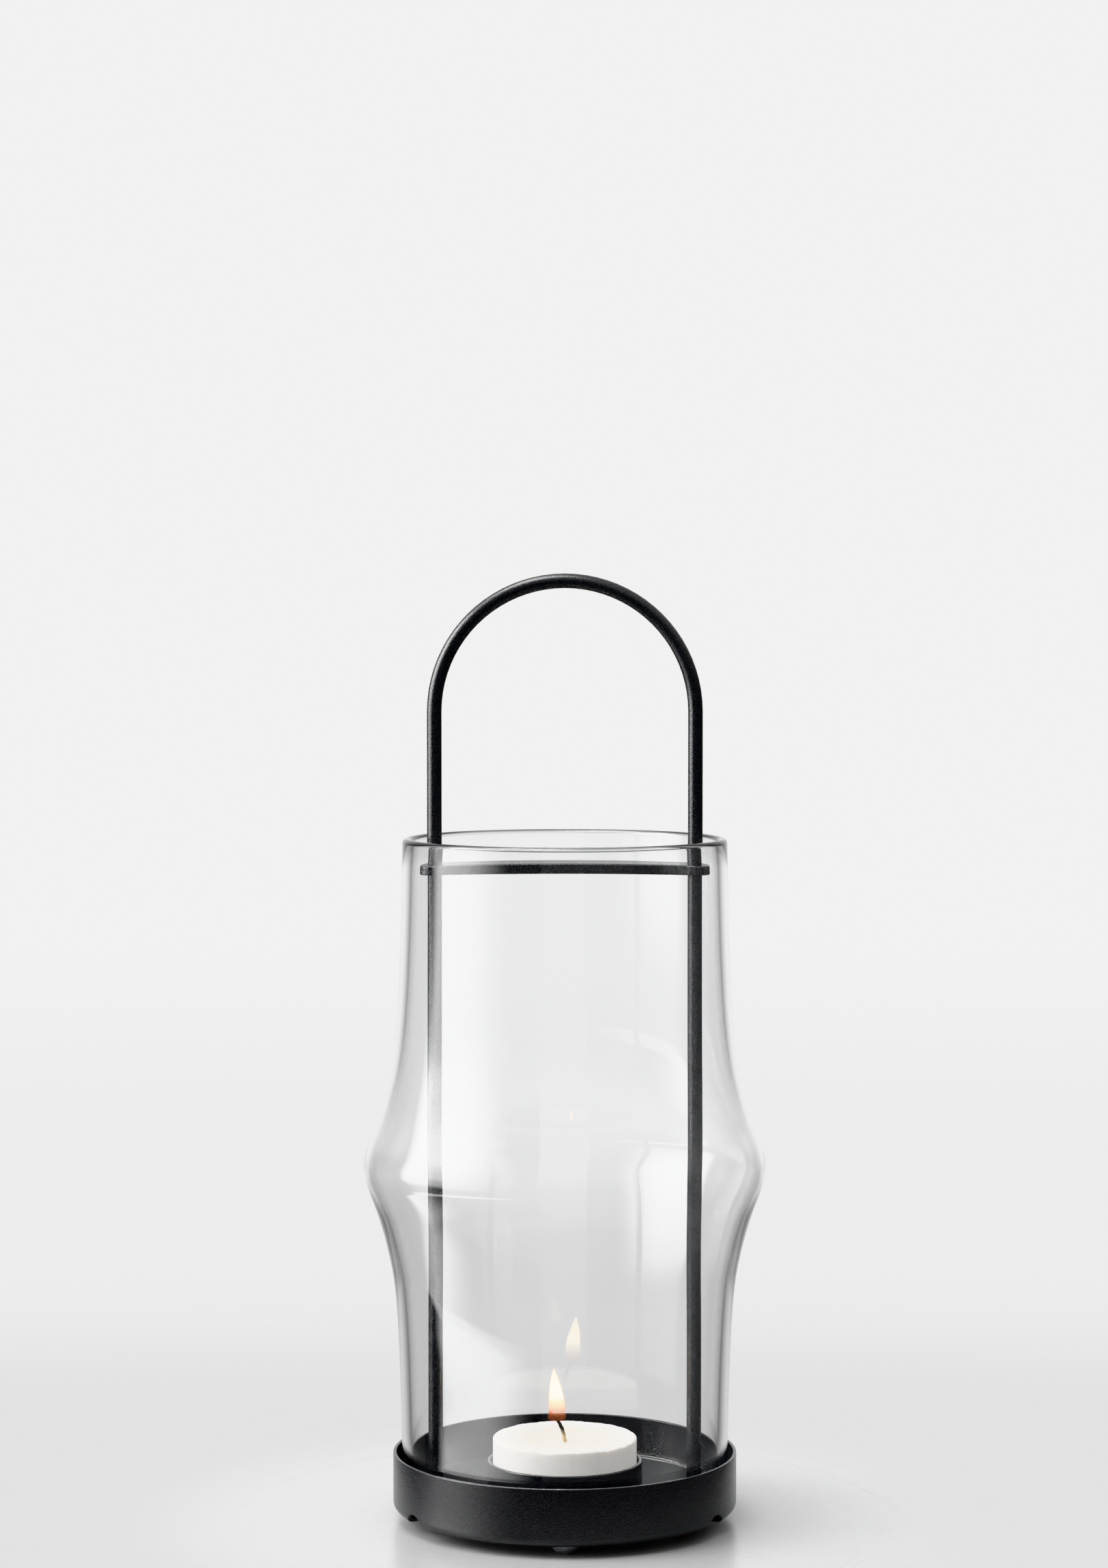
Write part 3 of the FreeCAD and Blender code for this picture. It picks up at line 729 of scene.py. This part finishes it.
def make_flame(name, finish, radius, base, tip):
    """A slim pointed flame that starts round the burnt wick and leans with it."""
    outline = [(0.0, base)]
    for step in range(1, FLAME_STEPS):
        share = step / FLAME_STEPS
        swell = min(1.0, share / 0.06) ** 0.5 * (1 - share**2.6)
        outline.append((radius * swell, base + (tip - base) * share))
    outline.append((0.0, tip))

    def lean(place):
        share = (place.z - FLAME_BASE) / (FLAME_TIP - FLAME_BASE)
        drift = FLAME_OFFSET - FLAME_LEAN * share + FLAME_SWAY * math.sin(share * 5.0)
        return place + Vector((drift, 0, 0))

    piece = add_piece(name, turn(name, outline, 64, lean), finish, 80)
    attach(piece, "tealight")


# ---------------------------------------------------------------- carried-over pieces


def dress(finish, *names):
    """Gives CAD pieces their finish."""
    for name in names:
        mesh = nodes[name].data
        mesh.materials.clear()
        mesh.materials.append(finish)


# ---------------------------------------------------------------- studio

CAMERA_DISTANCE = 0.9534
CAMERA_HEIGHT = 0.2364
CAMERA_PITCH = -2.55
CAMERA_YAW = 0.171
LENS = 83.57
SENSOR_WIDTH = 36.0


def set_camera():
    data = bpy.data.cameras.new("camera")
    data.sensor_width = SENSOR_WIDTH
    data.lens = LENS
    data.clip_start, data.clip_end = 0.01, 50.0
    camera = bpy.data.objects.new("camera", data)
    camera.location = (0.0, -CAMERA_DISTANCE, CAMERA_HEIGHT)
    turned = (math.radians(90 + CAMERA_PITCH), 0.0, math.radians(CAMERA_YAW))
    camera.rotation_euler = turned
    scene.collection.objects.link(camera)
    scene.camera = camera


PANEL_RADIUS = 0.95
PANEL_LOW = -0.85
PANEL_HIGH = 1.35
PANEL_FROM = 16
PANEL_SPAN = 98
PANEL_COLUMNS = 48
PANEL_ROWS = 56


def soft_panel():
    """A tall curved diffuser to the left of the lantern, brightest high up, with soft edges.
    Bearings are degrees to the left of the front."""
    points, faces = [], []
    for row in range(PANEL_ROWS + 1):
        level = PANEL_LOW + (PANEL_HIGH - PANEL_LOW) * row / PANEL_ROWS
        for column in range(PANEL_COLUMNS + 1):
            bearing = math.radians(PANEL_FROM + PANEL_SPAN * column / PANEL_COLUMNS)
            x, y = -PANEL_RADIUS * math.sin(bearing), -PANEL_RADIUS * math.cos(bearing)
            points.append((x, y, level))
    for row in range(PANEL_ROWS):
        for column in range(PANEL_COLUMNS):
            corner = row * (PANEL_COLUMNS + 1) + column
            over = corner + PANEL_COLUMNS + 1
            faces.append((corner, corner + 1, over + 1, over))
    mesh = bpy.data.meshes.new("soft_panel")
    mesh.from_pydata(points, [], faces)
    mesh.shade_smooth()
    tree = material("lit diffuser")
    x, y, z = tree.split(tree.place())
    bearing = (0.0 - x).math("ARCTAN2", 0.0 - y) * (180 / math.pi)
    # Below the floor's level the lit part reaches further forward, and deeper down it draws
    # back again. This shapes the highlights under the bulge of the glass.
    sunk = z.between(-0.197, -0.214)
    deep = z.between(-0.245, -0.285)
    far_edge = 100.0 + 7.0 * z.between(-0.10, 0.1) + 9.0 * z.between(-0.255, -0.31)
    near_edge = 36.0 - 18.0 * sunk + 48.0 * deep
    across = bearing.between(near_edge, near_edge + 42.0)
    across = across * bearing.between(far_edge, far_edge - 8.0)
    upward = 0.7 + 3.2 * sunk + 4.0 * z.between(-0.06, 0.10)
    upward = upward + 2.6 * z.between(0.12, 0.26) + 4.0 * z.between(0.3, 0.62)
    ends = z.between(-0.8, -0.6) * z.between(1.3, 1.0)
    glow = tree.add("ShaderNodeEmission", sockets={"Strength": upward * across * ends})
    mesh.materials.append(tree.surface(glow))
    panel = bpy.data.objects.new("soft_panel", mesh)
    panel.visible_camera = False
    scene.collection.objects.link(panel)


AIM_HEIGHT = 0.12


def softbox(name, left_of_camera, height, distance, width, tall, radiance):
    """A flat soft light that faces the lantern, placed by its bearing from the camera side."""
    data = bpy.data.lights.new(name, "AREA")
    data.shape = "RECTANGLE"
    data.size, data.size_y = width, tall
    data.energy = radiance * 4 * width * tall
    light = bpy.data.objects.new(name, data)
    bearing = math.radians(left_of_camera)
    across, along = -math.sin(bearing), -math.cos(bearing)
    light.location = (across * distance, along * distance, height)
    facing = Vector((0, 0, AIM_HEIGHT)) - Vector(light.location)
    light.rotation_euler = facing.to_track_quat("-Z", "Y").to_euler()
    scene.collection.objects.link(light)


DIRECT_LEVEL = 0.86


def set_room():
    """A room that is white behind the lantern and darker to the sides and in front. Seen
    directly it is pale all round: only reflections, and most rays that pass through the glass,
    meet its darker parts."""
    world = bpy.data.worlds.new("room")
    scene.world = world
    tree = Tree(world)
    x, y, z = tree.split(tree.add("ShaderNodeTexCoord", out="Generated"))
    behind = y.between(0.73 - 0.2 * z.between(0.02, 0.25), 0.96)
    left = (0.0 - x).between(0.2, 0.95)
    above = z.between(0.06, 0.62)
    below = z.between(-0.45, -0.9)
    dim = 0.08 + 0.07 * left + 0.05 * x.between(0.2, 0.9) + 0.75 * above + 0.35 * below
    backdrop = 0.81 + 0.13 * z.between(-0.21, -0.172) + 0.12 * z.between(-0.14, -0.085)
    level = dim + (backdrop - dim) * behind
    direct = tree.add("ShaderNodeLightPath", out="Is Camera Ray")
    through = Value(tree, direct.socket.node.outputs["Is Transmission Ray"])
    sideways = 1.0 - y.math("ABSOLUTE").between(0.12, 0.4)
    open_way = 0.7 * sideways + 0.35 * (0.0 - y).between(0.5, 0.85)
    seen = (direct + through * open_way).clamped() * (1.0 - behind)
    level = level + (DIRECT_LEVEL - level) * seen
    sky = tree.add("ShaderNodeCombineColor", sockets={0: level, 1: level, 2: level})
    tree.surface(tree.add("ShaderNodeBackground", sockets={"Color": sky, "Strength": 1.0}))


FLOOR_RADIUS = 1.4


def set_floor(finish):
    """A round floor in rings that widen outwards."""
    mesh = bpy.data.meshes.new("studio_floor")
    rings, steps = 24, 96
    points = [(0.0, 0.0, 0.0)]
    faces = []
    for ring in range(1, rings + 1):
        radius = FLOOR_RADIUS * (ring / rings) ** 1.5
        for k in range(steps):
            angle = 2 * math.pi * k / steps
            points.append((radius * math.cos(angle), radius * math.sin(angle), 0.0))
    for k in range(steps):
        faces.append((0, 1 + k, 1 + (k + 1) % steps))
    for ring in range(rings - 1):
        for k in range(steps):
            a, b = 1 + ring * steps + k, 1 + ring * steps + (k + 1) % steps
            faces.append((a, a + steps, b + steps, b))
    mesh.from_pydata(points, [], faces)
    mesh.materials.append(finish)
    floor = bpy.data.objects.new("studio_floor", mesh)
    scene.collection.objects.link(floor)


# ---------------------------------------------------------------- assembly

coat = black_powder_coat("black powder coat", gloss=0.17, ior=1.66)
thin_coat = black_powder_coat("thin black coat", gloss=0.48, ior=1.38)
# The rod's coat is a paler copy of the same coat: painted sheen and brighter painted glints.
rod_coat = black_powder_coat("black coat on the rod", gloss=0.19, ior=1.66, painted_sheen=1.5)
zinc = plated_steel("zinc plate", tint=(0.72, 0.72, 0.70), roughness=0.26)
tin = plated_steel("tinplate", tint=(0.80, 0.79, 0.76), roughness=0.20)
silicone = clear_silicone()
dress(coat, "base_tray", "candle_ring")
dress(rod_coat, "handle_bow", "crossbar")
dress(thin_coat, "floor_plate")
dress(zinc, "spacer_left", "spacer_right", "washer_left", "washer_right")
dress(zinc, "nut_left", "nut_right")
dress(tin, "wick_tab")
dress(silicone, "foot_front", "foot_right", "foot_left")
make_glass_shade(clear_glass())
make_wax(candle_wax())
make_wick(burnt_wick(start=wax_high.z - MELT_DEPTH, end=wick_high.z))
heart_base, heart_tip = FLAME_BASE + 0.4 * MM, FLAME_TIP - 0.6 * MM
make_flame("flame_heart", flame_heart(), 2.05 * MM, heart_base, heart_tip)
make_flame("flame_veil", flame_veil(), 2.4 * MM, FLAME_BASE, FLAME_TIP)
set_camera()
set_room()
soft_panel()
softbox(
    "overhead softbox",
    left_of_camera=60,
    height=1.25,
    distance=0.34,
    width=0.8,
    tall=0.55,
    radiance=6.0,
)
set_floor(studio_paper())
scene.view_settings.view_transform = "Khronos PBR Neutral"
